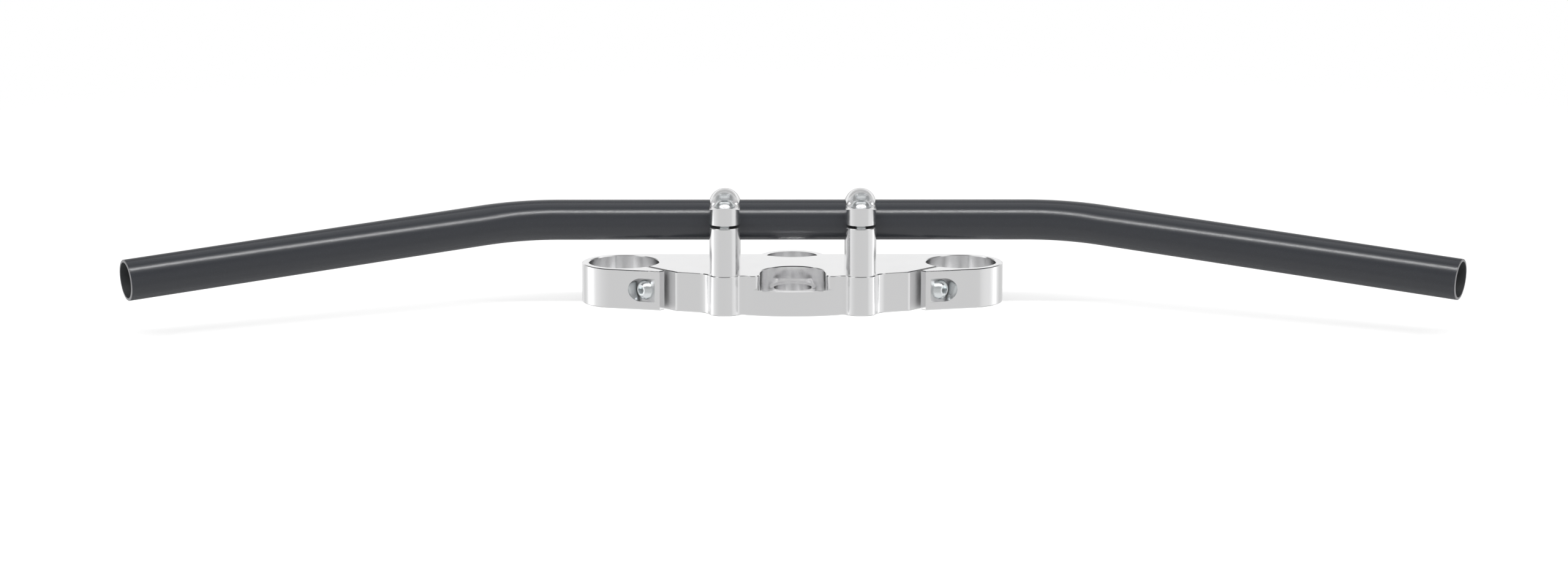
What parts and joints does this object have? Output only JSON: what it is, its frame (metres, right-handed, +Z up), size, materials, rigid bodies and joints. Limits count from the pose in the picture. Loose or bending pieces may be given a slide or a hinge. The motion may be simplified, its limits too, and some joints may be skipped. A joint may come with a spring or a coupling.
{
  "type": "motorcycle drag bar handlebar with risers and top yoke",
  "caption": "Low bent tube handlebar held by capped risers on a machined top fork yoke with slit fork clamps, stem seat and lock ring.",
  "frame": {"origin": "steering stem axis at the yoke's underside", "axes": "+X to the rider's right, +Y forward, +Z up along the stem axis"},
  "size_m": [0.7192, 0.1762, 0.0669],
  "materials": {
    "bar_coat": "satin powder coat",
    "yoke_aluminium": "polished and clear anodised",
    "clamp_aluminium": "polished and clear anodised",
    "screw_steel": "bright zinc plate"
  },
  "bodies": {
    "root": {"handlebar": "bar_coat", "top_yoke": "yoke_aluminium", "riser_left": "clamp_aluminium", "clamp_cap_left": "clamp_aluminium", "cap_screw_left_front": "screw_steel", "cap_screw_left_rear": "screw_steel", "pinch_screw_left": "screw_steel", "riser_screw_left": "screw_steel", "riser_washer_left": "screw_steel", "riser_right": "clamp_aluminium", "clamp_cap_right": "clamp_aluminium", "cap_screw_right_front": "screw_steel", "cap_screw_right_rear": "screw_steel", "pinch_screw_right": "screw_steel", "riser_screw_right": "screw_steel", "riser_washer_right": "screw_steel"}
  },
  "joints": []
}
